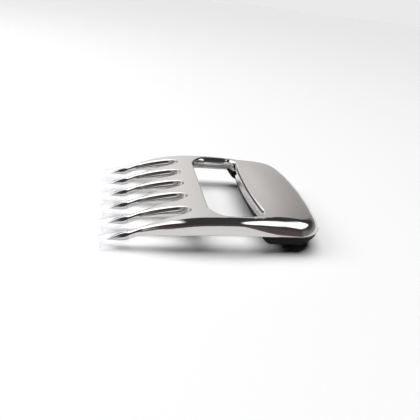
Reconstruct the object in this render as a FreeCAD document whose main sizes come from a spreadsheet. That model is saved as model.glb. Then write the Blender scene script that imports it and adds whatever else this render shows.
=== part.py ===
import FreeCAD, Part
import math
import os
import re
import Sketcher

# Meat-shredding claw: a die-cast, chrome-plated hand claw with six curved tines, a finger opening and a
# domed palm handle, closed underneath by a black moulded grip held by four screws. A clear sleeve guards
# each tine point and pulls off along the tine.
#
# Every body is drawn in claw coordinates: X runs back from the tine points, Y across the tines from the
# centre line, Z up from the level of the points. A common placement then moves all of them into the
# part's own frame, whose origin is on the surface that the claw rests on, under the middle of its length.

DIMENSIONS = [
    # Tines, points first
    ("tine_count", 6, "number of tines"),
    ("tine_pitch", 18.5, "centre to centre of neighbouring tines"),
    ("point_half", 0.35, "half width of a tine at its blunted point"),
    ("spear_half", 2.1, "half width of the spear behind the point"),
    ("spear_x", 8.5, "widest place of the spear"),
    ("neck_half", 1.8, "half width of the neck behind the spear"),
    ("neck_x", 17.0, "narrowest place of the neck"),
    ("flank_bow", 110.0, "radius of the outer flanks from neck to root"),
    ("slot_bow", 240.0, "radius of the flanks along the slots"),
    ("slot_end_x", 46.4, "closed end of the slots"),
    ("slot_half", 3.6, "half width of a slot at its round end"),
    # Body outline
    ("half_width", 51.8, "half width over the side rails"),
    ("blank_margin", 2.5, "how far the blank stands out past the outline"),
    ("root_x", 47.0, "where the outer flanks reach the full width"),
    ("rear_x", 130.3, "rearmost point of the handle"),
    ("rear_bow", 200.0, "plan radius of the rear edge"),
    ("corner_radius", 17.5, "plan radius of the rear corners"),
    ("rim_z", 6.8, "level of the lower rim of rails and handle"),
    ("rim_x", 64.0, "where the tine bellies run into the rim"),
    ("edge_round", 3.6, "rounding of the upper outer edge"),
    ("tine_round", 1.0, "rounding of the upper edges of the tines"),
    # Finger opening
    ("opening_x", 56.8, "front edge of the finger opening"),
    ("opening_half", 43.5, "half width of the finger opening"),
    ("opening_front_round", 11.0, "front corner radius of the opening"),
    ("opening_rear_round", 6.5, "rear corner radius of the opening"),
    ("lip_x", 86.6, "foremost point of the handle lip"),
    ("lip_bow", 283.0, "plan radius of the handle lip"),
    ("opening_edge_round", 1.2, "rounding of the upper edge of the opening"),
    ("relief_z", 10.4, "underside round the opening, above the rim"),
    ("relief_front_x", 50.5, "front end of that relief"),
    ("relief_rear_x", 95.3, "rear end of that relief"),
    ("relief_half", 48.2, "half width of that relief"),
    ("relief_corner", 6.0, "corner radius of that relief"),
    # Underside of the tines
    ("keel_x", 9.5, "rear end of the spear keel"),
    ("keel_z", 0.3, "height of that end"),
    ("keel_bow", 24.0, "radius of the spear keel"),
    ("throat_x", 16.0, "where the keel has risen to the neck"),
    ("throat_z", 3.1, "height of the throat"),
    ("belly_x", 26.0, "middle of the tine belly"),
    ("belly_z", 5.1, "height of the belly there"),
    # Handle cavity and its screw bosses
    ("skin", 3.2, "wall of the hollow handle"),
    ("cavity_front_x", 95.8, "front wall of the cavity"),
    ("cavity_rear_x", 120.5, "rear wall of the cavity"),
    ("cavity_half", 44.5, "half width of the cavity"),
    ("boss_radius", 4.5, "radius of a screw boss"),
    ("post_radius", 5.6, "radius of a screw post in the grip"),
    ("boss_z", 9.6, "lower face of the bosses"),
    ("boss_top_z", 15.0, "level the bosses are cast up to"),
    ("boss_front_x", 103.5, "front pair of screws"),
    ("boss_rear_x", 110.5, "rear pair of screws"),
    ("boss_front_y", 34.0, "front pair off the centre line"),
    ("boss_rear_y", 14.0, "rear pair off the centre line"),
    # Grip moulding
    ("floor_z", -4.8, "level of the surface that the claw rests on"),
    ("grip_inset", 1.0, "how far the grip stays inside the handle rim"),
    ("grip_front_x", 86.5, "front edge of the grip under the rails"),
    ("grip_step_x", 88.8, "inner end of that front edge"),
    ("grip_step_y", 43.5, "how far off the centre line it stops"),
    ("grip_nose_x", 89.8, "middle of the front edge between the rails, bowed like the lip"),
    ("grip_chin_x", 90.2, "foot of the grip's front face"),
    ("grip_chin_z", 3.1, "height of that foot"),
    ("land_front_x", 104.0, "front end of the flat that the grip rests on"),
    ("land_rear_x", 113.0, "rear end of that flat"),
    ("land_half", 36.0, "half width of that flat"),
    ("land_corner", 3.7, "how far the flat reaches beyond the centre of a rear corner's arc"),
    ("heel_z", 5.0, "lower edge of the grip's rear face"),
    ("cheek_z", 2.0, "lower edge of the grip's side faces"),
    ("corner_z", 4.2, "lower edge of the grip at its rear corners"),
    ("grip_bow", 40.0, "radius of the bowed faces round the flat"),
    ("inside_z", 2.0, "floor of the hollow in the grip"),
    ("spigot_rise", 2.0, "height of the locating rib above the rim"),
    ("spigot_wall", 1.6, "thickness of the locating rib"),
    ("fit_gap", 0.25, "gap between rib and cavity wall"),
    # Screws
    ("screw_radius", 2.0, "thread radius of the screws"),
    ("screw_gap", 0.05, "play of the screws in their holes"),
    ("screw_top_z", 14.0, "upper end of the screws"),
    ("head_radius", 3.6, "radius of the screw heads"),
    ("head_gap", 0.4, "play round the screw heads"),
    ("head_rise", 2.6, "height of the screw heads"),
    ("seat_z", 1.0, "level of the seats under the screw heads"),
    ("recess_radius", 1.5, "radius of the hexagon socket"),
    ("recess_depth", 1.5, "depth of the hexagon socket"),
    # Clear tip guards
    ("guard_radius", 3.7, "outer radius of a guard"),
    ("guard_bore", 3.2, "inner radius of a guard"),
    ("guard_span", 16.0, "length of a guard"),
    ("guard_front_x", -4.3, "front end of the guard axis"),
    ("guard_tilt", 15.5, "downward tilt of a guard in degrees"),
    ("guard_play", 0.3, "play between a guard and its spear"),
]

# Upper surface: distance from the points, height on the centre line, and height at the half width.
STATIONS = [
    (-4.0, -2.6, -2.6),
    (0.0, 0.35, 0.35),
    (3.0, 2.3, 2.3),
    (6.5, 4.1, 4.1),
    (11.0, 5.6, 5.6),
    (17.0, 7.9, 7.9),
    (24.0, 10.6, 10.6),
    (33.0, 13.3, 13.3),
    (44.0, 15.6, 15.6),
    (58.0, 16.7, 16.7),
    (74.0, 16.9, 16.9),
    (88.0, 17.1, 16.6),
    (100.0, 18.2, 15.9),
    (111.0, 17.8, 14.7),
    (120.0, 16.1, 13.3),
    (126.5, 13.6, 11.8),
    (133.0, 10.6, 10.0),
]

# Stations of the hollow of the handle, and where its own sections lie.
CAVITY_LETTERS = "lmno"
CAVITY_PLACES = ["cavity_front_x", "along_m", "along_n", "cavity_rear_x"]

SCREW_PLACES = [
    ("boss_front_x", "-boss_front_y"),
    ("boss_front_x", "boss_front_y"),
    ("boss_rear_x", "-boss_rear_y"),
    ("boss_rear_x", "boss_rear_y"),
]

LETTERS = "abcdefghijklmnopqrstuvwxyz"

# A distance well past the whole claw, for the outer boundary of cuts.
AHEAD = "300"

doc = FreeCAD.newDocument("meat_claw")
sheet = doc.addObject("Spreadsheet::Sheet", "dims")
aliases = set()


def cell(address, alias, number):
    sheet.set(address, str(number))
    sheet.setAlias(address, alias)
    aliases.add(alias)


for number, (alias, size, note) in enumerate(DIMENSIONS):
    sheet.set("A%d" % (number + 1), note)
    cell("B%d" % (number + 1), alias, size)
for number, (along, middle, side) in enumerate(STATIONS):
    cell("C%d" % (number + 1), "along_" + LETTERS[number], along)
    cell("D%d" % (number + 1), "middle_" + LETTERS[number], middle)
    cell("E%d" % (number + 1), "side_" + LETTERS[number], side)
doc.recompute()


def bound(text):
    """The expression with every alias written as a cell of the sheet."""
    return re.sub(r"[a-z_]+", lambda word: "dims." * (word.group() in aliases) + word.group(), text)


def size(text):
    return float(sheet.evalExpression(bound(text)))


def new_body(name):
    body = doc.addObject("PartDesign::Body", name)
    body.Label = name
    return body


def origin_part(body, role):
    return [part for part in body.Origin.OriginFeatures if part.Role == role][0]


def new_sketch(body, name, plane, offset="0", turn=0):
    sketch = body.newObject("Sketcher::SketchObject", name)
    sketch.AttachmentSupport = [(origin_part(body, plane), "")]
    sketch.MapMode = "FlatFace"
    turned = FreeCAD.Rotation(FreeCAD.Vector(0, 1, 0), turn)
    sketch.AttachmentOffset = FreeCAD.Placement(FreeCAD.Vector(0, 0, size(offset)), turned)
    sketch.setExpression("AttachmentOffset.Base.z", bound(offset))
    return sketch


def bind(sketch, constraint, name, text):
    sketch.renameConstraint(constraint, name)
    sketch.setExpression("Constraints." + name, bound(text))


def arc_between(start, end, radius, turn):
    """The minor arc from start to end, turning left for turn = 1 and right for turn = -1."""
    half = (end - start) * 0.5
    reach = math.sqrt(radius * radius - half.Length * half.Length)
    across = FreeCAD.Vector(-half.y, half.x, 0).normalize() * reach * turn
    centre = start + half + across
    first, last = (start, end) if turn > 0 else (end, start)
    angles = [math.atan2(point.y - centre.y, point.x - centre.x) for point in (first, last)]
    return Part.ArcOfCircle(Part.Circle(centre, FreeCAD.Vector(0, 0, 1), radius), *angles)


def draw_loop(sketch, corners):
    """A closed loop of corners (x, y), or (x, y, radius, turn) where an arc leads to the next corner.

    All of them are expressions, and the sketch is fully constrained by them.
    """
    first = sketch.GeometryCount
    count = len(corners)
    points = [FreeCAD.Vector(size(corner[0]), size(corner[1]), 0) for corner in corners]
    ends = []
    for number, corner in enumerate(corners):
        start, end = points[number], points[(number + 1) % count]
        if len(corner) == 2:
            sketch.addGeometry(Part.LineSegment(start, end), False)
            ends.append((1, 2))
        else:
            sketch.addGeometry(arc_between(start, end, size(corner[2]), corner[3]), False)
            ends.append((1, 2) if corner[3] > 0 else (2, 1))
    for number, corner in enumerate(corners):
        following = (number + 1) % count
        here, after = first + number, first + following
        start, end = ends[number]
        sketch.addConstraint(Sketcher.Constraint("Coincident", here, end, after, ends[following][0]))
        for kind, text, value in zip(("DistanceX", "DistanceY"), corner, points[number]):
            pin = sketch.addConstraint(Sketcher.Constraint(kind, -1, 1, here, start, value))
            bind(sketch, pin, "%s_%d" % (kind, here), text)
        if len(corner) == 4:
            pin = sketch.addConstraint(Sketcher.Constraint("Radius", here, size(corner[2])))
            bind(sketch, pin, "Radius_%d" % here, corner[2])


def draw_circle(sketch, x, y, radius):
    centre = FreeCAD.Vector(size(x), size(y), 0)
    ring = sketch.addGeometry(Part.Circle(centre, FreeCAD.Vector(0, 0, 1), size(radius)), False)
    for kind, text, value in (("DistanceX", x, centre.x), ("DistanceY", y, centre.y)):
        if value:
            pin = sketch.addConstraint(Sketcher.Constraint(kind, -1, 1, ring, 3, value))
            bind(sketch, pin, "%s_%d" % (kind, ring), text)
        else:
            axis = -2 if kind == "DistanceX" else -1
            sketch.addConstraint(Sketcher.Constraint("PointOnObject", ring, 3, axis))
    pin = sketch.addConstraint(Sketcher.Constraint("Radius", ring, size(radius)))
    bind(sketch, pin, "Radius_%d" % ring, radius)


def add_loft(body, kind, name, sections):
    loft = body.newObject("PartDesign::" + kind, name)
    loft.Profile = sections[0]
    loft.Sections = sections[1:]
    loft.Ruled = False
    doc.recompute()
    return loft


def add_pad(body, name, sketch, length, reverse=False):
    pad = body.newObject("PartDesign::Pad", name)
    pad.Profile = sketch
    pad.Length = size(length)
    pad.setExpression("Length", bound(length))
    pad.Reversed = reverse
    doc.recompute()
    return pad


def cut_through(body, name, sketch):
    """A pocket that cuts everything before and behind its sketch."""
    pocket = body.newObject("PartDesign::Pocket", name)
    pocket.Profile = sketch
    pocket.SideType = "Symmetric"
    pocket.Type = "ThroughAll"
    doc.recompute()
    return pocket


def cut_blind(body, name, sketch, depth, reverse=False):
    pocket = body.newObject("PartDesign::Pocket", name)
    pocket.Profile = sketch
    pocket.Length = size(depth)
    pocket.setExpression("Length", bound(depth))
    pocket.Reversed = reverse
    doc.recompute()
    return pocket


def repeat_across(body, name, feature, count):
    """Repeat a feature count times towards +Y, one tine pitch apart."""
    row = body.newObject("PartDesign::LinearPattern", name)
    row.Originals = [feature]
    row.Direction = (origin_part(body, "Y_Axis"), [""])
    row.Mode = "Spacing"
    row.Offset = size("tine_pitch")
    row.setExpression("Offset", bound("tine_pitch"))
    row.Occurrences = int(size(count))
    row.setExpression("Occurrences", bound(count))
    body.Tip = row
    doc.recompute()
    return row


def round_edges(body, name, radius, chosen):
    """Round those edges of the body's upper face whose middle point is chosen."""
    base = body.Tip
    curved = [face for face in base.Shape.Faces if isinstance(face.Surface, Part.BSplineSurface)]
    upper = max(curved, key=lambda face: face.Area)
    names = []
    for number, edge in enumerate(base.Shape.Edges):
        middle = edge.valueAt((edge.FirstParameter + edge.LastParameter) / 2)
        if chosen(middle) and any(edge.isSame(other) for other in upper.Edges):
            names.append("Edge%d" % (number + 1))
    fillet = body.newObject("PartDesign::Fillet", name)
    fillet.Base = (base, names)
    fillet.Radius = size(radius)
    fillet.setExpression("Radius", bound(radius))
    doc.recompute()
    return fillet


def place(body, x="0", y="0", z="0"):
    """Move a body from claw coordinates, shifted by x, y and z, into the part's own frame."""
    for axis, text in (("x", FRAME_X + " + " + x), ("y", y), ("z", FRAME_Z + " + " + z)):
        body.setExpression("Placement.Base." + axis, bound(text))


# The part's frame: the middle of the whole length, guards included, on the resting surface.
FRAME_X = "-(rear_x + guard_front_x - guard_radius * sin(guard_tilt)) / 2"
FRAME_Z = "-floor_z"

# Centres of the arcs of the handle's plan outline. Insetting the outline keeps them.
BOW_X = "(rear_x - rear_bow)"
CORNER_Y = "(half_width - corner_radius)"
CORNER_DISTANCE = "(rear_bow - corner_radius)"
CORNER_RUN = "sqrt(" + CORNER_DISTANCE + "^2 - " + CORNER_Y + "^2)"
CORNER_X = "(" + BOW_X + " + " + CORNER_RUN + ")"

OUTER_TINE_Y = "((tine_count - 1) / 2 * tine_pitch)"

# Height of the front end of a guard's axis: its lower edge stands on the resting surface.
GUARD_Z = "(floor_z + guard_radius * cos(guard_tilt))"


def rear_corners(inset):
    """Corners of the rear outline, from the right side round to the left, set in by inset."""
    turn_x = "%s + (rear_bow - %s) * %s / %s" % (BOW_X, inset, CORNER_RUN, CORNER_DISTANCE)
    turn_y = "(rear_bow - %s) * %s / %s" % (inset, CORNER_Y, CORNER_DISTANCE)
    return [
        (CORNER_X, "-(half_width - %s)" % inset, "corner_radius - " + inset, 1),
        (turn_x, "-(%s)" % turn_y, "rear_bow - " + inset, 1),
        (turn_x, turn_y, "corner_radius - " + inset, 1),
        (CORNER_X, "half_width - " + inset),
    ]


def right_flank():
    """Corners of the outer flank of the right outer tine, from the point to the root."""
    return [
        ("-1", "-(%s + point_half)" % OUTER_TINE_Y),
        ("0", "-(%s + point_half)" % OUTER_TINE_Y),
        ("spear_x", "-(%s + spear_half)" % OUTER_TINE_Y),
        ("neck_x", "-(%s + neck_half)" % OUTER_TINE_Y, "flank_bow", 1),
        ("root_x", "-half_width"),
    ]


def left_flank():
    """Corners of the outer flank of the left outer tine, from the root to the point."""
    return [
        ("root_x", "half_width", "flank_bow", 1),
        ("neck_x", "%s + neck_half" % OUTER_TINE_Y),
        ("spear_x", "%s + spear_half" % OUTER_TINE_Y),
        ("0", "%s + point_half" % OUTER_TINE_Y),
        ("-1", "%s + point_half" % OUTER_TINE_Y),
    ]


def opening_corners():
    """Corners of the finger opening, counter-clockwise from its right front corner."""
    front, rear = "opening_front_round", "opening_rear_round"
    lip_y = "(opening_half - %s)" % rear
    lip_back = "(lip_x + lip_bow - sqrt(lip_bow^2 - %s^2))" % lip_y
    rear_x = "(%s - %s)" % (lip_back, rear)
    return [
        ("opening_x", "-(opening_half - %s)" % front, front, 1),
        ("opening_x + " + front, "-opening_half"),
        (rear_x, "-opening_half", rear, 1),
        (lip_back, "-" + lip_y, "lip_bow", -1),
        (lip_back, lip_y, rear, 1),
        (rear_x, "opening_half"),
        ("opening_x + " + front, "opening_half", front, 1),
        ("opening_x", "opening_half - " + front),
    ]


def relief_corners():
    """Corners of the relief under the opening, round at its front corners."""
    front, rear, half, bend = "relief_front_x", "relief_rear_x", "relief_half", "relief_corner"
    return [
        (front, "-(%s - %s)" % (half, bend), bend, 1),
        ("%s + %s" % (front, bend), "-" + half),
        (rear, "-" + half),
        (rear, half),
        ("%s + %s" % (front, bend), half, bend, 1),
        (front, "%s - %s" % (half, bend)),
    ]


def slot_corners():
    """Corners of the rightmost slot, counter-clockwise from the point of the tine on its right."""
    middle = "((1 - tine_count / 2) * tine_pitch)"
    corners = []
    for sign, turn in (("-", 1), ("+", 1)):
        half = "%s %s (tine_pitch / 2 - %s)"
        side = [
            ("-1", half % (middle, sign, "point_half")),
            ("0", half % (middle, sign, "point_half")),
            ("spear_x", half % (middle, sign, "spear_half")),
            ("neck_x", half % (middle, sign, "neck_half")),
            ("slot_end_x - slot_half", "%s %s slot_half" % (middle, sign)),
        ]
        corners.append(side)
    right, left = corners[0], corners[1][::-1]
    right[3] += ("slot_bow", -1)
    right[4] += ("slot_half", 1)
    left[0] += ("slot_bow", -1)
    return right + [("slot_end_x", middle, "slot_half", 1)] + left


def draw_box(sketch, inset):
    """The rectangle of the handle's hollow, set in by inset."""
    front, rear = "cavity_front_x + " + inset, "cavity_rear_x - (%s)" % inset
    half = "cavity_half - (%s)" % inset
    draw_loop(sketch, [(front, "-(%s)" % half), (rear, "-(%s)" % half), (rear, half), (front, half)])


def section(body, name, letter, lower, half, drop, along=None):
    """A cross-section below one station of the upper surface, its crowned top lowered by drop."""
    sketch = new_sketch(body, name, "YZ_Plane", along or "along_" + letter)
    middle = "(middle_%s - %s)" % (letter, drop)
    side = "(side_%s - %s)" % (letter, drop)
    corners = [("-(%s)" % half, lower), (half, lower), (half, side), ("-(%s)" % half, side)]
    crown = "(middle_%s - side_%s)" % (letter, letter)
    if size(crown):
        corners[2] += ("((%s)^2 + %s^2) / (2 * %s)" % (half, crown, crown), 1)
    draw_loop(sketch, corners)
    return sketch


def build_claw():
    body = new_body("claw_body")

    # Blank: the crowned upper surface from the points to the rear edge.
    blank = [
        section(body, "blank_" + letter, letter, "2 * floor_z", "half_width + blank_margin", "0")
        for letter in LETTERS[: len(STATIONS)]
    ]
    add_loft(body, "AdditiveLoft", "blank", blank)

    # Underside: keels of the spears, throats, bellies of the tines and the rim plane.
    under = new_sketch(body, "underside_outline", "XZ_Plane")
    draw_loop(
        under,
        [
            ("-" + AHEAD, "-" + AHEAD),
            (AHEAD, "-" + AHEAD),
            (AHEAD, "rim_z"),
            ("rim_x", "rim_z", "400", 1),
            ("belly_x", "belly_z", "60", 1),
            ("throat_x", "throat_z"),
            ("keel_x", "keel_z", "keel_bow", -1),
            ("0", "0"),
            ("-" + AHEAD, "0"),
        ],
    )
    cut_through(body, "underside", under)

    # Plan outline with the outer flanks of the outer tines.
    plan = new_sketch(body, "plan_outline", "XY_Plane")
    back = "-" + AHEAD
    draw_loop(plan, [(back, back), (AHEAD, back), (AHEAD, AHEAD), (back, AHEAD)])
    draw_loop(plan, right_flank() + rear_corners("0") + left_flank())
    cut_through(body, "plan", plan)

    # Finger opening, its rear edge the bowed lip of the handle.
    opening = new_sketch(body, "opening_outline", "XY_Plane")
    draw_loop(opening, opening_corners())
    cut_through(body, "opening", opening)

    # Slots between the tines, each with a round end and the flanks of its two neighbours.
    slot = new_sketch(body, "slot_outline", "XY_Plane")
    draw_loop(slot, slot_corners())
    pocket = cut_through(body, "slot", slot)
    repeat_across(body, "slots", pocket, "tine_count - 1")

    # Upper edges: the outer edge of rails and handle, the tines, and the finger opening.
    neck, root, rear = size("neck_x"), size("slot_end_x") + 1, size("cavity_rear_x")
    outside = size("half_width") - 1.4 * size("edge_round")
    round_edges(
        body,
        "outer_edge",
        "edge_round",
        lambda point: point.x > neck and (abs(point.y) > outside or point.x > rear),
    )
    round_edges(
        body,
        "tine_edges",
        "tine_round",
        lambda point: neck < point.x < root and abs(point.y) < outside,
    )
    round_edges(
        body,
        "opening_edge",
        "opening_edge_round",
        lambda point: root < point.x < rear and abs(point.y) < outside,
    )

    # Spears dressed round, so that the guards slide over them.
    dressing = new_sketch(body, "dressing_ring", "YZ_Plane", "guard_front_x")
    dressing.AttachmentOffset.Rotation = FreeCAD.Rotation(FreeCAD.Vector(-1, 0, 0), size("guard_tilt"))
    dressing.setExpression("AttachmentOffset.Rotation.Angle", bound("guard_tilt"))
    dressing.setExpression("AttachmentOffset.Base.x", bound("-" + OUTER_TINE_Y))
    dressing.setExpression("AttachmentOffset.Base.y", bound(GUARD_Z))
    draw_circle(dressing, "0", "0", "guard_radius + guard_play")
    draw_circle(dressing, "0", "0", "guard_bore - guard_play")
    pocket = cut_blind(body, "dressing", dressing, "guard_span + guard_play", reverse=True)
    repeat_across(body, "dressings", pocket, "tine_count")

    # Relief of the underside round the finger opening, between the outer walls.
    relief = new_sketch(body, "relief_outline", "XY_Plane", "relief_z")
    draw_loop(relief, relief_corners())
    cut_blind(body, "relief", relief, "relief_z - floor_z")

    # Hollow of the handle, its ceiling one skin below the upper surface.
    hollow = [
        section(body, "hollow_" + letter, letter, "rim_z - 2", "cavity_half", "skin", along)
        for letter, along in zip(CAVITY_LETTERS, CAVITY_PLACES)
    ]
    add_loft(body, "SubtractiveLoft", "hollow", hollow)

    # Four screw bosses cast down from the ceiling, then their blind screw holes.
    bosses = new_sketch(body, "boss_outlines", "XY_Plane", "boss_z")
    for x, y in SCREW_PLACES:
        draw_circle(bosses, x, y, "boss_radius")
    add_pad(body, "bosses", bosses, "boss_top_z - boss_z")
    holes = new_sketch(body, "screw_hole_outlines", "XY_Plane", "boss_z")
    for x, y in SCREW_PLACES:
        draw_circle(holes, x, y, "screw_radius + screw_gap")
    cut_blind(body, "screw_holes", holes, "screw_top_z + screw_gap - boss_z", reverse=True)
    return body


def front_corners(end_x, end_y):
    """Corners of the grip's front edge from left to right, set back in a bow between the rails."""
    bowed_x = "grip_nose_x + lip_bow - sqrt(lip_bow^2 - grip_step_y^2)"
    return [
        (end_x, end_y),
        ("grip_step_x", "grip_step_y"),
        (bowed_x, "grip_step_y", "lip_bow", 1),
        (bowed_x, "-grip_step_y"),
        ("grip_step_x", "-grip_step_y"),
        (end_x, "-" + end_y),
    ]


def build_grip():
    """Black moulding that closes the handle from below: a shell with screw posts and a locating rib."""
    body = new_body("grip")
    outline = new_sketch(body, "grip_outline", "XY_Plane", "rim_z")
    draw_loop(outline, rear_corners("grip_inset") + front_corners("grip_front_x", "(half_width - grip_inset)"))
    add_pad(body, "block", outline, "rim_z - floor_z", reverse=True)

    # Keel line from the chin over the resting flat to the heel, the cheeks on both sides, and the two
    # rear corners between them.
    keel = new_sketch(body, "keel_outline", "XZ_Plane")
    below = "floor_z - 5"
    draw_loop(
        keel,
        [
            ("grip_front_x - 5", below),
            ("rear_x + 5", below),
            ("rear_x + 5", "heel_z"),
            ("rear_x - grip_inset", "heel_z", "grip_bow", -1),
            ("land_rear_x", "floor_z"),
            ("land_front_x", "floor_z"),
            ("grip_chin_x", "grip_chin_z"),
            ("grip_front_x", "rim_z"),
            ("grip_front_x - 5", "rim_z"),
        ],
    )
    cut_through(body, "keel", keel)
    cheeks = new_sketch(body, "cheek_outlines", "YZ_Plane")
    for sign, turn in (("-", -1), ("", 1)):
        draw_loop(
            cheeks,
            [
                (sign + "land_half", "floor_z", "grip_bow", turn),
                (sign + "(half_width - grip_inset)", "cheek_z"),
                (sign + "(half_width + 5)", "cheek_z"),
                (sign + "(half_width + 5)", below),
                (sign + "land_half", below),
            ],
        )
    cut_through(body, "cheeks", cheeks)
    centre = "(%s + %s) / sqrt(2)" % (CORNER_X, CORNER_Y)
    for side, sign, turn in (("right", "-", -1), ("left", "", 1)):
        corner = new_sketch(body, side + "_corner_outline", "YZ_Plane", turn=-45 * turn)
        inner = sign + "(%s + land_corner)" % centre
        outer = sign + "(%s + corner_radius - grip_inset)" % centre
        beyond = sign + "(%s + corner_radius + 8)" % centre
        draw_loop(
            corner,
            [
                (inner, "floor_z", "grip_bow", turn),
                (outer, "corner_z"),
                (beyond, "corner_z"),
                (beyond, below),
                (inner, below),
            ],
        )
        cut_through(body, side + "_corner", corner)

    # Front shelf that reaches up into the relief under the lip.
    shelf = new_sketch(body, "shelf_outline", "XY_Plane", "rim_z - 1")
    rear, half = "relief_rear_x - fit_gap", "(relief_half - fit_gap)"
    draw_loop(shelf, [(rear, "-" + half), (rear, half)] + front_corners("grip_step_x", half))
    add_pad(body, "shelf", shelf, "relief_z - rim_z + 1")

    # Locating rib standing up inside the hollow of the handle.
    rib = new_sketch(body, "rib_outline", "XY_Plane", "rim_z - 1")
    draw_box(rib, "fit_gap")
    draw_box(rib, "fit_gap + spigot_wall")
    add_pad(body, "rib", rib, "spigot_rise + 1")

    # Inside of the shell, then a post under each boss.
    inside = new_sketch(body, "inside_outline", "XY_Plane", "rim_z")
    draw_box(inside, "fit_gap + spigot_wall")
    cut_blind(body, "inside", inside, "rim_z - inside_z")
    posts = new_sketch(body, "post_outlines", "XY_Plane", "inside_z - 0.5")
    for x, y in SCREW_PLACES:
        draw_circle(posts, x, y, "post_radius")
    add_pad(body, "posts", posts, "boss_z - inside_z + 0.5")
    holes = new_sketch(body, "hole_outlines", "XY_Plane", "boss_z")
    for x, y in SCREW_PLACES:
        draw_circle(holes, x, y, "screw_radius + screw_gap")
    cut_through(body, "holes", holes)
    sinks = new_sketch(body, "sink_outlines", "XY_Plane", "seat_z")
    for x, y in SCREW_PLACES:
        draw_circle(sinks, x, y, "head_radius + head_gap")
    cut_blind(body, "sinks", sinks, "seat_z - floor_z + 1")
    place(body)
    return body


def build_screw(number, x, y):
    """Socket-head screw, drawn about its own axis and put in from below."""
    body = new_body("grip_screw_%d" % number)
    profile = new_sketch(body, "profile", "XZ_Plane")
    draw_loop(
        profile,
        [
            ("0", "seat_z - head_rise"),
            ("head_radius", "seat_z - head_rise"),
            ("head_radius", "seat_z"),
            ("screw_radius", "seat_z"),
            ("screw_radius", "screw_top_z"),
            ("0", "screw_top_z"),
        ],
    )
    turned = body.newObject("PartDesign::Revolution", "turned")
    turned.Profile = profile
    turned.ReferenceAxis = (profile, ["V_Axis"])
    turned.Angle = 360
    doc.recompute()
    socket = new_sketch(body, "socket_outline", "XY_Plane", "seat_z - head_rise")
    corners = []
    for corner in range(6):
        angle = "%d" % (60 * corner)
        corners.append(("recess_radius * cos(%s)" % angle, "recess_radius * sin(%s)" % angle))
    draw_loop(socket, corners)
    cut_blind(body, "socket", socket, "recess_depth", reverse=True)
    place(body, x, y)
    return body


def build_guard(number):
    """Clear sleeve over one tine point, drawn along X and tilted down towards the point."""
    body = new_body("tip_guard_%d" % number)
    ring = new_sketch(body, "ring", "YZ_Plane")
    draw_circle(ring, "0", "0", "guard_radius")
    draw_circle(ring, "0", "0", "guard_bore")
    add_pad(body, "sleeve", ring, "guard_span")
    tilt = FreeCAD.Rotation(FreeCAD.Vector(0, -1, 0), size("guard_tilt"))
    body.Placement = FreeCAD.Placement(FreeCAD.Vector(), tilt)
    body.setExpression("Placement.Rotation.Angle", bound("guard_tilt"))
    place(body, "guard_front_x", "((tine_count + 1) / 2 - %d) * tine_pitch" % number, GUARD_Z)
    return body


claw = build_claw()
place(claw)
bodies = [claw, build_grip()]
for number, (x, y) in enumerate(SCREW_PLACES):
    bodies.append(build_screw(number + 1, x, y))
for number in range(int(size("tine_count"))):
    bodies.append(build_guard(number + 1))
doc.recompute()

for item in doc.Objects:
    if "Invalid" in item.State or "Error" in item.State:
        raise RuntimeError("%s failed: %s" % (item.Name, item.State))
for body in bodies:
    if body.Shape.isNull() or not body.Shape.isValid() or len(body.Shape.Solids) != 1:
        raise RuntimeError("%s has no single valid solid" % body.Label)

os.makedirs("parts", exist_ok=True)
for body in bodies:
    body.Shape.exportStep("parts/%s.step" % body.Label)
    print("%-12s %9.1f mm3" % (body.Label, body.Shape.Volume))
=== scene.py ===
import math

import bpy
import numpy as np
from mathutils import Matrix, Vector, geometry, kdtree


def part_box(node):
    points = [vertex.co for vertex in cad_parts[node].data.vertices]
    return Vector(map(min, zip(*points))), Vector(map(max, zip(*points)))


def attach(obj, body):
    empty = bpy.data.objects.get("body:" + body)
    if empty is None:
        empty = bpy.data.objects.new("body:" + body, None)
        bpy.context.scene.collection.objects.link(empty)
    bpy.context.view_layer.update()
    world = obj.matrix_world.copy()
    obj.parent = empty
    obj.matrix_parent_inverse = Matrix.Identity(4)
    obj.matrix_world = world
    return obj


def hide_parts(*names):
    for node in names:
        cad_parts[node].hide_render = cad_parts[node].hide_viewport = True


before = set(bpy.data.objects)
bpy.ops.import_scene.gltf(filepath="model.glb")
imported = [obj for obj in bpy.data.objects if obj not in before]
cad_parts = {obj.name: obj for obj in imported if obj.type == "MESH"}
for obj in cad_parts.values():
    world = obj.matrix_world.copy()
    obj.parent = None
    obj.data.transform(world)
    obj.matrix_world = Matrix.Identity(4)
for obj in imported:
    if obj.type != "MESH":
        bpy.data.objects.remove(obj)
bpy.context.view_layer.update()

# The claw is drawn in claw coordinates, in millimetres: X back from the tine points, Y across the tines,
# Z up from the level of the points. FRAME_X and FRAME_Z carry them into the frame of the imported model.
REAR_X = 130.3
FLOOR_Z = -4.8
FRAME_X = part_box("claw_body")[1].x * 1000 - REAR_X
FRAME_Z = -FLOOR_Z
MM = 0.001

TINES = 6
PITCH = 18.5
HALF_WIDTH = 51.8
CROWN_HALF = 54.3
RIM_Z = 6.8

# Height of the upper surface on the centre line and at the half width, by distance from the points.
UPPER = [
    (-4.0, -2.6, -2.6),
    (0.0, 0.35, 0.35),
    (3.0, 2.3, 2.3),
    (6.5, 4.1, 4.1),
    (11.0, 5.6, 5.6),
    (17.0, 7.9, 7.9),
    (24.0, 10.6, 10.6),
    (33.0, 13.3, 13.3),
    (44.0, 15.6, 15.6),
    (58.0, 16.7, 16.7),
    (74.0, 16.9, 16.9),
    (88.0, 17.1, 16.6),
    (100.0, 18.2, 15.9),
    (111.0, 17.8, 14.7),
    (120.0, 16.1, 13.3),
    (126.5, 13.6, 11.8),
    (133.0, 10.6, 10.0),
]
# Underside of the tines: keel of the spear, throat, belly, and the rim behind.
UNDER = [(-4, 0.0), (0, 0.0), (4, -0.02), (9.5, 0.3), (16, 3.1), (26, 5.1), (44, 6.35), (64, 6.8), (84, 6.8)]
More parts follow.
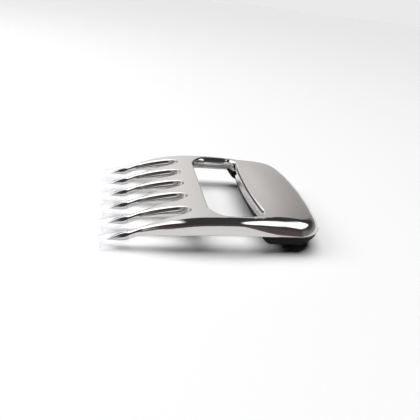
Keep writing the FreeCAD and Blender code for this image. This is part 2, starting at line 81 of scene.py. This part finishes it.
# Half width of the spear from its point to the neck.
SPEAR = [(0, 0.4), (3.5, 1.25), (8.5, 2.1), (13, 2.0), (17, 1.8)]

# Roundings of the edges: of tines, rails, the opening's sides, its lip and bridge, and of the underside.
TINE_ROUND, RAIL_ROUND, INNER_ROUND, LIP_ROUND, LOWER_ROUND = 2.2, 4.5, 3.4, 1.1, 0.8
# How much smaller the rounding is at a slot's end, and how much larger at the ends of the lip.
SLOT_LESS, LIP_MORE = 1.8, 0.6
# A tine's rounding reaches over at most this share of its half width, and down over this share of its height.
TINE_REACH, TINE_DEPTH = 0.93, 0.75
# Upright wall left between rounding and rim, on rails and on the handle.
RAIL_WALL, HANDLE_WALL = 1.6, 0.6
# Height of the ridge along a spear's side as a share of its thickness, and how far inward its facets run.
RIDGE_SHARE, FACET_SHARE = 0.58, 0.62
# Keels of the spears: their width and height as shares of the half width and of the height of the ridge.
KEEL_WIDTH, KEEL_HEIGHT = 0.8, 0.85
# Reach of the handle's rounding, and the part of the superellipse that it uses.
HANDLE_REACH, HANDLE_PART = 7.5, 0.93
# Powers of the superellipses: a round edge, and how far it is flattened on the spears and on the lip.
ROUND_POWER, SPEAR_FLATTER, LIP_FLATTER = 2.0, 0.88, 0.6

# Where one kind of edge passes into the next, as spans of x.
SPEAR_ENDS, KEEL_ENDS, TINE_DEEPENS = (9, 14), (9, 15), (12, 22)
TINE_TO_RAIL, SLOT_CLOSES, RAIL_TO_HANDLE = (22, 46), (39, 45), (72, 100)
SIDE_BEGINS, SIDE_ENDS, LIP_BEGINS = (58, 67), (79, 87), (84, 86)
SLOT_PART_X = 36
# The lip's rounding grows over this span of y.
LIP_GROWS = (5, 40)

# Hollow of the casting: its outer wall, the level round the finger opening and the skin of the handle,
# with the spans of x where it begins and where it rises from the relief into the handle.
WALL, RELIEF_Z, SKIN = 3.6, 10.4, 3.2
WALL_FOOT = 0.7
HOLLOW_BEGINS, CAVITY_RISES = (49.8, 50.5), (95.3, 96.8)

# Plan outline, as in the CAD model.
POINT_HALF = 0.4
NECK_X, NECK_HALF = 17.0, 1.8
FLANK_BOW, SLOT_BOW = 110.0, 240.0
ROOT_X = 47.0
SLOT_END_X, SLOT_HALF = 46.4, 3.6
REAR_BOW, CORNER_ROUND = 200.0, 17.5
OPENING_X, OPENING_HALF = 56.8, 43.5
OPENING_FRONT_ROUND, OPENING_REAR_ROUND = 11.0, 6.5
LIP_X, LIP_BOW = 86.6, 283.0


def spline(points):
    """The natural cubic spline through the points, as a function of arrays."""
    x, y = np.array([p[0] for p in points], float), np.array([p[1] for p in points], float)
    step, count = np.diff(x), len(x)
    system, right = np.eye(count), np.zeros(count)
    for i in range(1, count - 1):
        system[i, i - 1 : i + 2] = step[i - 1], 2 * (step[i - 1] + step[i]), step[i]
        right[i] = 6 * ((y[i + 1] - y[i]) / step[i] - (y[i] - y[i - 1]) / step[i - 1])
    bend = np.linalg.solve(system, right)

    def value(at):
        at = np.clip(np.asarray(at, float), x[0], x[-1])
        i = np.clip(np.searchsorted(x, at) - 1, 0, count - 2)
        before, after = (x[i + 1] - at) / step[i], (at - x[i]) / step[i]
        curve = (before**3 - before) * bend[i] + (after**3 - after) * bend[i + 1]
        return before * y[i] + after * y[i + 1] + curve * step[i] ** 2 / 6

    return value


def smoothstep(span, value):
    low, high = span
    share = np.clip((np.asarray(value, float) - low) / (high - low), 0, 1)
    return share * share * (3 - 2 * share)


upper_middle = spline([(x, middle) for x, middle, side in UPPER])
upper_side = spline([(x, side) for x, middle, side in UPPER])
under_middle = spline(UNDER)
spear_half = spline(SPEAR)


def upper_height(x, y):
    """Height of the upper surface, crowned across the claw."""
    middle = upper_middle(x)
    return middle - (middle - upper_side(x)) * (y / CROWN_HALF) ** 2


def flank_half(x, root_x, root_half, radius):
    """Half width of a tine at x: the spear, then a flank bowed with that radius from the neck to the root."""
    along = np.clip((np.asarray(x, float) - NECK_X) / (root_x - NECK_X), 0, 1)
    bow = (root_x - NECK_X) ** 2 / (2 * radius)
    flank = NECK_HALF + (root_half - NECK_HALF) * along + bow * along * (1 - along)
    return np.where(np.asarray(x) < NECK_X, spear_half(x), flank)


def arc(centre, radius, start, turn, count=60):
    """Points along an arc, its start angle and its turn in degrees."""
    angle = np.radians(start + turn * np.linspace(0, 1, count))
    return np.stack([centre[0] + radius * np.cos(angle), centre[1] + radius * np.sin(angle)], 1)


def line(start, end):
    """Points along a straight line, four to a millimetre."""
    share = np.linspace(0, 1, 2 + int(np.hypot(end[0] - start[0], end[1] - start[1]) * 4))[:, None]
    return np.array(start) * (1 - share) + np.array(end) * share


def flank(middle, side, root_x, root_half, radius, outward):
    """One flank of the tine on the line y = middle, from root to point or from point to root."""
    x = np.linspace(0, root_x, 240)
    points = np.stack([x, middle + side * flank_half(x, root_x, root_half, radius)], 1)
    return points[::-1] if outward else points


def outer_outline():
    """The outline of the claw, counter-clockwise: handle, left side, the tines from left to right."""
    bow_x = REAR_X - REAR_BOW
    run = math.sqrt((REAR_BOW - CORNER_ROUND) ** 2 - (HALF_WIDTH - CORNER_ROUND) ** 2)
    corner_x, corner_y = bow_x + run, HALF_WIDTH - CORNER_ROUND
    sweep = math.degrees(math.atan2(corner_y, run))
    slot_x = SLOT_END_X - SLOT_HALF
    rail_side = (ROOT_X, HALF_WIDTH - (TINES - 1) / 2 * PITCH, FLANK_BOW)
    slot_side = (slot_x, PITCH / 2 - SLOT_HALF, SLOT_BOW)
    pieces = [
        line((ROOT_X, -HALF_WIDTH), (corner_x, -HALF_WIDTH)),
        arc((corner_x, -corner_y), CORNER_ROUND, -90, 90 - sweep),
        arc((bow_x, 0), REAR_BOW, -sweep, 2 * sweep, 400),
        arc((corner_x, corner_y), CORNER_ROUND, sweep, 90 - sweep),
        line((corner_x, HALF_WIDTH), (ROOT_X, HALF_WIDTH)),
    ]
    for tine in range(TINES):
        middle = ((TINES - 1) / 2 - tine) * PITCH
        left = rail_side if tine == 0 else slot_side
        right = rail_side if tine == TINES - 1 else slot_side
        pieces.append(flank(middle, 1, *left, outward=True))
        pieces.append(arc((0, middle), POINT_HALF, 90, 180, 30))
        pieces.append(flank(middle, -1, *right, outward=False))
        if tine < TINES - 1:
            pieces.append(arc((slot_x, middle - PITCH / 2), SLOT_HALF, 90, -180))
    return np.concatenate(pieces)


def opening_outline():
    """The outline of the finger opening, clockwise, so that the metal is on its left as well."""
    half, front, rear = OPENING_HALF, OPENING_FRONT_ROUND, OPENING_REAR_ROUND
    lip_y = half - rear
    swing = math.degrees(math.asin(lip_y / LIP_BOW))
    lip_back = LIP_X + LIP_BOW - math.sqrt(LIP_BOW**2 - lip_y**2)
    pieces = [
        line((OPENING_X, -(half - front)), (OPENING_X, half - front)),
        arc((OPENING_X + front, half - front), front, 180, -90),
        line((OPENING_X + front, half), (lip_back - rear, half)),
        arc((lip_back - rear, lip_y), rear, 90, -90),
        arc((LIP_X + LIP_BOW, 0), LIP_BOW, 180 - swing, 2 * swing, 300),
        arc((lip_back - rear, -lip_y), rear, 0, -90),
        line((lip_back - rear, -half), (OPENING_X + front, -half)),
        arc((OPENING_X + front, -(half - front)), front, -90, -90),
    ]
    return np.concatenate(pieces)


# Points of a face that lie closer together than this are thinned out.
CROWDED = 0.02


class Outline:
    """A closed outline with the metal on its left, sampled evenly and a little softened at its corners."""

    STEP = 0.1

    def __init__(self, points, soften):
        closed = np.concatenate([points, points[:1]])
        length = np.concatenate([[0], np.cumsum(np.hypot(*np.diff(closed, axis=0).T))])
        keep = np.concatenate([[True], np.diff(length) > 1e-9])
        closed, length = closed[keep], length[keep]
        count = int(length[-1] / self.STEP)
        at = np.arange(count) * length[-1] / count
        even = np.stack([np.interp(at, length, closed[:, k]) for k in (0, 1)], 1)
        frequency = np.fft.rfftfreq(count, length[-1] / count)
        blur = np.exp(-2 * (math.pi * frequency * soften) ** 2)[:, None]
        self.points = np.fft.irfft(np.fft.rfft(even, axis=0) * blur, count, axis=0)
        ahead, behind = np.roll(self.points, -1, 0), np.roll(self.points, 1, 0)
        tangent = ahead - behind
        self.tangent = tangent / np.linalg.norm(tangent, axis=1)[:, None]
        self.inward = np.stack([-self.tangent[:, 1], self.tangent[:, 0]], 1)
        self.count, self.start = count, 0

    def spaced(self, spacing):
        """Indices of samples that lie spacing(x) apart."""
        density = 1 / spacing(self.points[:, 0])
        total = np.cumsum(density) * self.STEP
        wanted = np.linspace(0, total[-1], int(total[-1]) + 1)[:-1]
        return np.unique(np.searchsorted(total, wanted))


class Plan:
    """The claw seen from above: both outlines, and the nearest place on them for any point."""

    def __init__(self, outlines):
        self.outlines = outlines
        for before, outline in zip(outlines, outlines[1:]):
            outline.start = before.start + before.count
        self.points = np.concatenate([o.points for o in outlines])
        self.tangent = np.concatenate([o.tangent for o in outlines])
        self.inward = np.concatenate([o.inward for o in outlines])
        self.start = np.concatenate([np.full(o.count, o.start) for o in outlines])
        self.size = np.concatenate([np.full(o.count, o.count) for o in outlines])
        self.tree = kdtree.KDTree(len(self.points))
        for index, (x, y) in enumerate(self.points):
            self.tree.insert((x, y, 0), index)
        self.tree.balance()

    def at(self, values, place):
        """Values given along the outlines, at places between their samples."""
        sample, share = place
        after = (sample - self.start[sample] + 1) % self.size[sample] + self.start[sample]
        share = share[:, None] if values.ndim > 1 else share
        return values[sample] * (1 - share) + values[after] * share

    def moved(self, place, by):
        """Places moved along the outline by a number of samples."""
        sample, share = place
        whole = np.floor(share + by).astype(int)
        inside = (sample - self.start[sample] + whole) % self.size[sample] + self.start[sample]
        return inside, share + by - whole

    def nearest(self, points):
        """For each point its distance inward, the nearest place on the outlines, and the way inward."""
        first = np.array([self.tree.find((x, y, 0))[1] for x, y in points])
        place = (first, np.zeros(len(points)))
        for _ in range(4):
            lead = np.einsum("ij,ij->i", points - self.at(self.points, place), self.at(self.tangent, place))
            place = self.moved(place, np.clip(lead / Outline.STEP, -0.5, 0.5))
        inward = self.at(self.inward, place)
        inward = inward / np.linalg.norm(inward, axis=1)[:, None]
        return np.einsum("ij,ij->i", points - self.at(self.points, place), inward), place, inward


class Edge:
    """How a face rounds off towards the outline, for every sample of the outline.

    The face drops over the distance reach along a superellipse of that height and power: 2 is a round edge
    and 1 a flat facet. Only the first part of the superellipse is used, so that the side keeps a draft.
    """

    def __init__(self, reach, height, power, part=1.0):
        self.values = [reach, height, power, np.full(len(reach), 1.0) * part]
        self.reach = reach

    def drop(self, plan, inside, place):
        reach, height, power, part = (plan.at(values, place) for values in self.values)
        share = np.clip(1 - inside / reach, 0, 1) * part
        return height * (1 - (1 - share**power) ** (1 / power))


def outline_place(plan):
    """Along the outlines: x, the half width of the tine there, and how much each kind of edge counts."""
    x, y = plan.points.T
    opening = np.arange(len(x)) >= plan.outlines[1].start
    middle = (np.round(y / PITCH - 0.5) + 0.5) * PITCH
    half = np.abs(y - middle)
    outer = ~opening & ((np.abs(y) > (TINES - 1) / 2 * PITCH) | (x > ROOT_X))
    return x, y, np.maximum(half, POINT_HALF), opening, outer


def side_level(x):
    """Height of the ridge along the sides of a spear."""
    return under_middle(x) + RIDGE_SHARE * (upper_middle(x) - under_middle(x))


def upper_edge(plan):
    """Facets on the spears, round tines, round rails and handle, and a crisper lip and bridge."""
    x, y, half, opening, outer = outline_place(plan)
    top = upper_height(x, y)
    spear = 1 - smoothstep(SPEAR_ENDS, x)
    slot_end = ~opening & ~outer & (x > SLOT_PART_X)
    tine = np.minimum(TINE_ROUND - slot_end * SLOT_LESS * smoothstep(SLOT_CLOSES, x), TINE_REACH * half)
    rail = np.minimum(RAIL_ROUND, top - RIM_Z - RAIL_WALL)
    to_rail = outer * smoothstep(TINE_TO_RAIL, x)
    handle = outer * smoothstep(RAIL_TO_HANDLE, x)
    rounding = np.where(x > ROOT_X, rail, tine + to_rail * (rail - tine))
    beside = smoothstep(SIDE_BEGINS, x) * (1 - smoothstep(SIDE_ENDS, x))
    lip = opening * smoothstep(LIP_BEGINS, x)
    lip_round = LIP_ROUND + LIP_MORE * lip * smoothstep(LIP_GROWS, np.abs(y))
    rounding = np.where(opening, lip_round + (INNER_ROUND - lip_round) * beside, rounding)
    # The tines' sides go down up to twice as far as the rounding reaches inward.
    deep = 1 + (~opening & (x < OPENING_X)) * (1 - to_rail) * smoothstep(TINE_DEEPENS, x)
    deep = np.minimum(deep, TINE_DEPTH * (top - under_middle(x)) / rounding)
    reach = rounding + spear * (FACET_SHARE * half - rounding)
    reach = reach + handle * (HANDLE_REACH - reach)
    height = rounding * deep + spear * (upper_middle(x) - side_level(x) - rounding * deep)
    # The handle's side goes down to just above the rim.
    part = 1 - handle * (1 - HANDLE_PART)
    full = (top - RIM_Z - HANDLE_WALL) / (1 - math.sqrt(1 - HANDLE_PART**2))
    height = height + handle * (full - height)
    return Edge(reach, height, ROUND_POWER - SPEAR_FLATTER * spear - LIP_FLATTER * lip, part)


def lower_edge(plan):
    """The keels of the spears, and a small rounding everywhere else."""
    x, _, half, _, _ = outline_place(plan)
    spear = 1 - smoothstep(KEEL_ENDS, x)
    reach = LOWER_ROUND + spear * (KEEL_WIDTH * half - LOWER_ROUND)
    height = LOWER_ROUND + spear * (KEEL_HEIGHT * (side_level(x) - under_middle(x)) - LOWER_ROUND)
    return Edge(reach, height, np.full(len(x), ROUND_POWER))


def upper_face(edge):
    """The height of the upper side, for points with their distance inward and place on the outline."""

    def height(plan, points, inside, place):
        return upper_height(*points.T) - edge.drop(plan, inside, place)

    return height


def lower_face(edge):
    """The height of the underside: tine bellies and rim, and the hollow behind them."""

    def height(plan, points, inside, place):
        x, y = points.T
        wall = np.where(x < LIP_X + 8, HALF_WIDTH - np.abs(y), inside)
        ceiling = RELIEF_Z + (upper_height(x, y) - SKIN - RELIEF_Z) * smoothstep(CAVITY_RISES, x)
        hollow = smoothstep((WALL - WALL_FOOT, WALL), wall) * smoothstep(HOLLOW_BEGINS, x)
        base = under_middle(x) + edge.drop(plan, inside, place)
        return base + (ceiling - base) * hollow

    return height


def normals(plan, height, points, inside, place, inward):
    """Surface normals of a face from its slopes across the plan, towards the outline and along it."""
    slope = np.zeros_like(points)
    across, towards, samples = 0.05, 0.002, 3
    for axis in (0, 1):
        ahead, behind = points.copy(), points.copy()
        ahead[:, axis] += across
        behind[:, axis] -= across
        rise = height(plan, ahead, inside, place) - height(plan, behind, inside, place)
        slope[:, axis] += rise / (2 * across)
    further, nearer = inside + towards, np.maximum(inside - towards, 0)
    rise = height(plan, points, further, place) - height(plan, points, nearer, place)
    slope += (rise / (further - nearer))[:, None] * inward
    ahead, behind = plan.moved(place, samples), plan.moved(place, -samples)
    rise = height(plan, points, inside, ahead) - height(plan, points, inside, behind)
    slope += (rise / (2 * samples * Outline.STEP))[:, None] * plan.at(plan.tangent, place)
    normal = np.concatenate([-slope, np.ones((len(points), 1))], 1)
    return normal / np.linalg.norm(normal, axis=1)[:, None]


def plan_points(plan, edge, border, extra, pitch):
    """Points of a face in plan: its border, rings that follow the edge's rounding, and a grid inside."""
    found = [plan.points[border]]
    reach = edge.reach[border]
    rings = [reach * (1 - math.cos(math.radians(turn))) for turn in range(11, 91, 11)] + [reach]
    rings += [np.full(len(border), distance) for distance in extra]
    for ring in rings:
        # A ring's points that lie closer to another part of the outline are left out.
        points = plan.points[border] + plan.inward[border] * ring[:, None]
        inside = plan.nearest(points)[0]
        found.append(points[inside > 0.96 * ring])
    low, high = plan.points.min(0), plan.points.max(0)
    x, y = np.meshgrid(np.arange(low[0], high[0], pitch), np.arange(low[1], high[1], pitch))
    x[::2] += pitch / 2
    points = np.stack([x.ravel(), y.ravel()], 1)
    inside, place, _ = plan.nearest(points)
    ringed = np.maximum(plan.at(edge.reach, place), max(extra, default=0))
    found.append(points[inside > ringed + pitch / 2])
    return thinned(found)


def thinned(groups):
    """The groups' points, without those of the later groups that crowd an earlier point."""
    kept = [groups[0]]
    for group in groups[1:]:
        every = np.concatenate(kept)
        tree = kdtree.KDTree(len(every))
        for index, (x, y) in enumerate(every):
            tree.insert((x, y, 0), index)
        tree.balance()
        distance = np.array([tree.find((x, y, 0))[2] for x, y in group])
        kept.append(group[distance > CROWDED])
    return np.concatenate(kept)


def triangles(plan, points, border_edges):
    """Triangles between points in plan that lie inside the outlines."""
    made = geometry.delaunay_2d_cdt([Vector(p) for p in points], border_edges, [], 0, 1e-6)
    made_points, _, faces, origins = made[:4]
    if len(made_points) != len(points):
        raise RuntimeError("the plan's points cross: %d became %d" % (len(points), len(made_points)))
    faces = np.array([origin[0] for origin in origins])[np.array(faces)]
    small = np.ptp(points[faces], axis=1).max(1) < SLOT_HALF
    centred = plan.nearest(points[faces].mean(1))[0] > 0
    return faces[small & centred | (faces >= len(border_edges)).any(1)]


def claw_mesh(plan):
    """Upper face, underside and the wall between them as one closed mesh."""
    upper, lower = upper_edge(plan), lower_edge(plan)
    border, border_edges = [], []
    for outline in plan.outlines:
        # Finer round the points than along rails and handle.
        indices = outline.spaced(lambda x: 0.3 + 0.6 * smoothstep((2, 30), x)) + outline.start
        first, count = len(border), len(indices)
        border += list(indices)
        border_edges += [(first + i, first + (i + 1) % count) for i in range(count)]
    border = np.array(border)
    wall_foot = (WALL - WALL_FOOT, WALL - WALL_FOOT / 2, WALL)
    corners, directions, faces = [], [], []
    for edge, height, extra, pitch, up in (
        (upper, upper_face(upper), (), 1.3, 1),
        (lower, lower_face(lower), wall_foot, 2.0, -1),
    ):
        points = plan_points(plan, edge, border, extra, pitch)
        inside, place, inward = plan.nearest(points)
        inside[: len(border)] = 0
        first = sum(len(group) for group in corners)
        corners.append(np.column_stack([points, height(plan, points, inside, place)]))
        directions.append(up * normals(plan, height, points, inside, place, inward))
        for corner_three in triangles(plan, points, border_edges):
            faces.append(tuple(int(i) + first for i in corner_three[::up]))
    below = len(corners[0])
    faces += [(b, a, a + below, b + below) for a, b in border_edges]
    return np.concatenate(corners), np.concatenate(directions), faces


def to_frame(points):
    """Claw coordinates in millimetres as places in the frame, in metres."""
    return (np.asarray(points, float) + (FRAME_X, 0, FRAME_Z)) * MM


def linked(name, data):
    """A new object in the scene."""
    made = bpy.data.objects.new(name, data)
    bpy.context.scene.collection.objects.link(made)
    return made


# How far the corners of the outlines are softened.
SOFTEN = 0.35

plan = Plan([Outline(points, SOFTEN) for points in (outer_outline(), opening_outline())])
corners, directions, faces = claw_mesh(plan)
mesh = bpy.data.meshes.new("claw_casting")
mesh.from_pydata([tuple(corner) for corner in to_frame(corners)], [], faces)
mesh.shade_smooth()
mesh.normals_split_custom_set_from_vertices([tuple(direction) for direction in directions])
claw = linked("claw_casting", mesh)
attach(claw, "claw")


class Nodes:
    """Short ways to add shader nodes to one tree; sockets and plain values both count as inputs."""

    # Sockets of a mix node that mixes colours, which share their names with its other kinds.
    MIX_FACTOR, MIX_FIRST, MIX_SECOND, MIX_RESULT = 0, 6, 7, 2

    def __init__(self, tree):
        self.tree = tree

    def add(self, kind, inputs=(), output=0, **settings):
        """A new node with these settings and inputs; gives back one of its outputs."""
        node = self.tree.nodes.new(kind)
        for setting, value in settings.items():
            setattr(node, setting, value)
        for socket, value in dict(inputs).items():
            if isinstance(value, bpy.types.NodeSocket):
                self.tree.links.new(value, node.inputs[socket])
            else:
                node.inputs[socket].default_value = value
        return node.outputs[output]

    def math(self, operation, first, second):
        return self.add("ShaderNodeMath", {0: first, 1: second}, operation=operation)

    def ramp(self, value, low, high, start=0.0, end=1.0):
        """A smooth step from start to end while the value goes from low to high."""
        inputs = {"Value": value, "From Min": low, "From Max": high, "To Min": start, "To Max": end}
        return self.add("ShaderNodeMapRange", inputs, interpolation_type="SMOOTHSTEP")

    def mix(self, factor, first, second):
        """A colour that goes from first to second."""
        inputs = {self.MIX_FACTOR: factor, self.MIX_FIRST: first, self.MIX_SECOND: second}
        return self.add("ShaderNodeMix", inputs, self.MIX_RESULT, data_type="RGBA")

    def noise(self, place, scale, detail=4.0, roughness=0.5):
        inputs = {"Vector": place, "Scale": scale, "Detail": detail, "Roughness": roughness}
        return self.add("ShaderNodeTexNoise", inputs)

    def place(self, stretch=(1, 1, 1)):
        """Object coordinates, stretched along the axes."""
        here = self.add("ShaderNodeTexCoord", output="Object")
        return self.add("ShaderNodeVectorMath", {0: here, 1: stretch}, operation="MULTIPLY")

    def bump(self, height, strength, distance):
        return self.add("ShaderNodeBump", {"Height": height, "Strength": strength, "Distance": distance})


def principled(name, **settings):
    """A node material with one Principled shader; settings are its sockets by name, _ for a space."""
    material = bpy.data.materials.new(name)
    material.use_nodes = True
    shader = material.node_tree.nodes["Principled BSDF"]
    for socket, value in settings.items():
        shader.inputs[socket.replace("_", " ")].default_value = value
    return material, Nodes(material.node_tree), shader


def dress(piece, material):
    piece.data.materials.clear()
    piece.data.materials.append(material)


# Chrome plating: a faint polishing grain along the claw, slow waves of the casting, and smudges.
chrome, nodes, shader = principled("chrome", Base_Color=(0.62, 0.605, 0.6, 1), Metallic=1.0)
smudge = nodes.noise(nodes.place(), 45.0, 5.0, 0.6)
grain = nodes.noise(nodes.place((60, 900, 60)), 1.0, 3.0)
waves = nodes.noise(nodes.place(), 28.0, 1.0)
rough = nodes.math("ADD", nodes.ramp(smudge, 0.35, 0.75, 0.05, 0.11), nodes.ramp(grain, 0.4, 0.8, 0.0, 0.03))
nodes.tree.links.new(rough, shader.inputs["Roughness"])
nodes.tree.links.new(nodes.bump(waves, 0.25, 0.0004), shader.inputs["Normal"])
dress(claw, chrome)
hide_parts("claw_body")

# Grip moulding: black plastic with a fine moulded grain and rubbed patches.
black, nodes, shader = principled("black_plastic", Specular_IOR_Level=0.12)
patches = nodes.noise(nodes.place(), 60.0, 4.0, 0.6)
pores = nodes.noise(nodes.place(), 1800.0, 2.0)
tone = nodes.mix(nodes.ramp(patches, 0.35, 0.7), (0.006, 0.006, 0.0065, 1), (0.011, 0.0105, 0.0105, 1))
nodes.tree.links.new(tone, shader.inputs["Base Color"])
nodes.tree.links.new(nodes.ramp(patches, 0.3, 0.75, 0.42, 0.6), shader.inputs["Roughness"])
nodes.tree.links.new(nodes.bump(pores, 0.3, 0.00006), shader.inputs["Normal"])
dress(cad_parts["grip"], black)

# Screws: bright zinc-plated steel, turned, a little uneven.
steel, nodes, shader = principled("screw_steel", Metallic=1.0)
spots = nodes.noise(nodes.place(), 700.0, 4.0, 0.65)
tone = nodes.mix(nodes.ramp(spots, 0.35, 0.7), (0.42, 0.42, 0.43, 1), (0.56, 0.555, 0.54, 1))
nodes.tree.links.new(tone, shader.inputs["Base Color"])
nodes.tree.links.new(nodes.ramp(spots, 0.3, 0.7, 0.25, 0.45), shader.inputs["Roughness"])
for number in range(1, 5):
    dress(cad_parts["grip_screw_%d" % number], steel)

# Sleeves: clear soft vinyl. Light passes straight through the thin wall, and its surface shines.
clear, nodes, shader = principled("clear_vinyl")
haze = nodes.noise(nodes.place(), 260.0, 3.0)
tint = nodes.mix(nodes.ramp(haze, 0.35, 0.7), (1.0, 1.0, 1.0, 1), (0.98, 0.98, 0.99, 1))
# Painted shade: where the surface faces along X, as the ring cut at each end does, its tint is made a little
# bluish and darker.
facing = nodes.add("ShaderNodeSeparateXYZ", {0: nodes.add("ShaderNodeTexCoord", output="Normal")})
painted_end_shade = nodes.ramp(nodes.math("MULTIPLY", facing, facing), 0.7, 0.85)
tint = nodes.mix(painted_end_shade, tint, (0.66, 0.67, 0.76, 1))
through = nodes.add("ShaderNodeBsdfTransparent", {"Color": tint})
shine = nodes.add("ShaderNodeBsdfGlossy", {"Color": (0.9, 0.9, 0.95, 1), "Roughness": 0.1})
share = nodes.math("MULTIPLY", nodes.add("ShaderNodeFresnel", {"IOR": 1.3}), 0.3)
both = nodes.add("ShaderNodeMixShader", {0: share, 1: through, 2: shine})
nodes.tree.links.new(both, nodes.tree.nodes["Material Output"].inputs["Surface"])
nodes.tree.nodes.remove(shader)
for number in range(1, 7):
    dress(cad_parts["tip_guard_%d" % number], clear)

# Floor.
bpy.ops.mesh.primitive_plane_add(size=8)
floor = bpy.context.object
floor.name = "floor"
dress(floor, principled("pale", Base_Color=(0.9, 0.9, 0.9, 1), Roughness=0.8, Specular_IOR_Level=0.0)[0])


def studio():
    """Soft studio surroundings: dark above and in front, a pale wall behind, two bright softboxes."""
    world = bpy.data.worlds.new("studio")
    world.use_nodes = True
    nodes = Nodes(world.node_tree)
    way = nodes.add("ShaderNodeTexCoord", output="Generated")
    x, y, z = (
        nodes.add("ShaderNodeVectorMath", {0: way, 1: axis}, output="Value", operation="DOT_PRODUCT")
        for axis in ((1, 0, 0), (0, 1, 0), (0, 0, 1))
    )
    down, left, front = (nodes.math("MULTIPLY", value, -1.0) for value in (z, x, y))
    colour = (0.055, 0.053, 0.052, 1)
    # Each area: its colour, and the steps whose product is its mask, each with its low and high end.
    for tone, steps in (
        # Pale haze towards the horizon, duller at the front.
        ((0.55, 0.55, 0.54), ((down, -0.42, 0.15),)),
        ((0.1, 0.09, 0.088), ((front, 0.3, 0.85), (down, -0.6, -0.1))),
        # Wall behind, brightest towards the left, and a dark gap beside it.
        ((0.44, 0.42, 0.41), ((y, 0.45, 0.85), (down, -0.68, -0.52))),
        ((1.06, 1.04, 1.03), ((left, -0.66, 0.05), (y, 0.45, 0.8), (down, -0.68, -0.5))),
        ((0.11, 0.108, 0.105), ((left, 0.17, 0.27), (down, -0.43, -0.35))),
        # Pale wall ahead of the tines.
        ((0.8, 0.79, 0.78), ((left, 0.4, 0.7), (down, -0.62, -0.34), (z, 0.1, 0.22), (y, 0.3, 0.0))),
        # Large softbox above on the left.
        ((2.2, 2.2, 2.2), ((left, 0.1, 0.2), (z, 0.48, 0.6), (y, -0.5, -0.3))),
        # Duller right side, and a warm edge along the horizon in front.
        ((0.24, 0.235, 0.23), ((x, 0.5, 0.7), (front, 0.3, 0.5), (down, -0.5, -0.2))),
        ((0.2, 0.105, 0.095), ((front, 0.85, 0.93), (down, -0.13, -0.03))),
        # Narrow softbox on the right.
        (
            (2.4, 2.4, 2.4),
            ((x, 0.3, 0.46), (z, 0.48, 0.58), (down, -0.88, -0.82), (y, -0.76, -0.66), (front, -0.1, 0.02)),
        ),
    ):
        masks = [nodes.ramp(*step) for step in steps]
        while len(masks) > 1:
            masks.append(nodes.math("MULTIPLY", masks.pop(), masks.pop()))
        colour = nodes.mix(masks[0], colour, tone + (1,))
    # Plain backdrop where the camera sees past the floor.
    backdrop = nodes.add("ShaderNodeLightPath", output="Is Camera Ray")
    colour = nodes.mix(backdrop, colour, (0.82, 0.82, 0.82, 1))
    nodes.tree.links.new(colour, nodes.tree.nodes["Background"].inputs["Color"])
    world.cycles_visibility.diffuse = False
    bpy.context.scene.world = world


studio()
bpy.context.scene.view_settings.view_transform = "Standard"


def softlight(name, kind, place, energy, **form):
    """A soft light aimed at the claw, which isn't seen in the chrome."""
    light = linked(name, bpy.data.lights.new(name, kind))
    light.data.energy = energy
    for setting, value in form.items():
        setattr(light.data, setting, value)
    light.location = place
    light.rotation_euler = Vector(place).to_track_quat("Z", "Y").to_euler()
    light.visible_glossy = False


softlight("overhead", "SUN", (0.0, 0.22, 1.5), 2.83, angle=math.radians(59))
softlight("from_left", "AREA", (-0.9, 0.18, 0.75), 5.2, shape="DISK", size=0.7)

# Camera: its place in claw coordinates, where it looks, how it is rolled, and its lens and sensor, of which
# only the ratio counts.
CAMERA = (3.22, -263.78, 132.85)
CAMERA_TURN, CAMERA_DIP, CAMERA_ROLL = -13.461, 26.663, 8.175
SENSOR = 36
LENS = 450 / 420 * SENSOR
camera = linked("camera", bpy.data.cameras.new("camera"))
camera.data.lens, camera.data.sensor_width = LENS, SENSOR
turn, dip, roll = (math.radians(v) for v in (CAMERA_TURN, CAMERA_DIP, CAMERA_ROLL))
forward = Vector((-math.sin(turn) * math.cos(dip), math.cos(turn) * math.cos(dip), -math.sin(dip)))
right = Vector((math.cos(turn), math.sin(turn), 0))
up = right.cross(forward)
right, up = right * math.cos(roll) + up * math.sin(roll), up * math.cos(roll) - right * math.sin(roll)
camera.matrix_world = Matrix((right, up, -forward)).transposed().to_4x4()
camera.location = to_frame(CAMERA)
bpy.context.scene.camera = camera
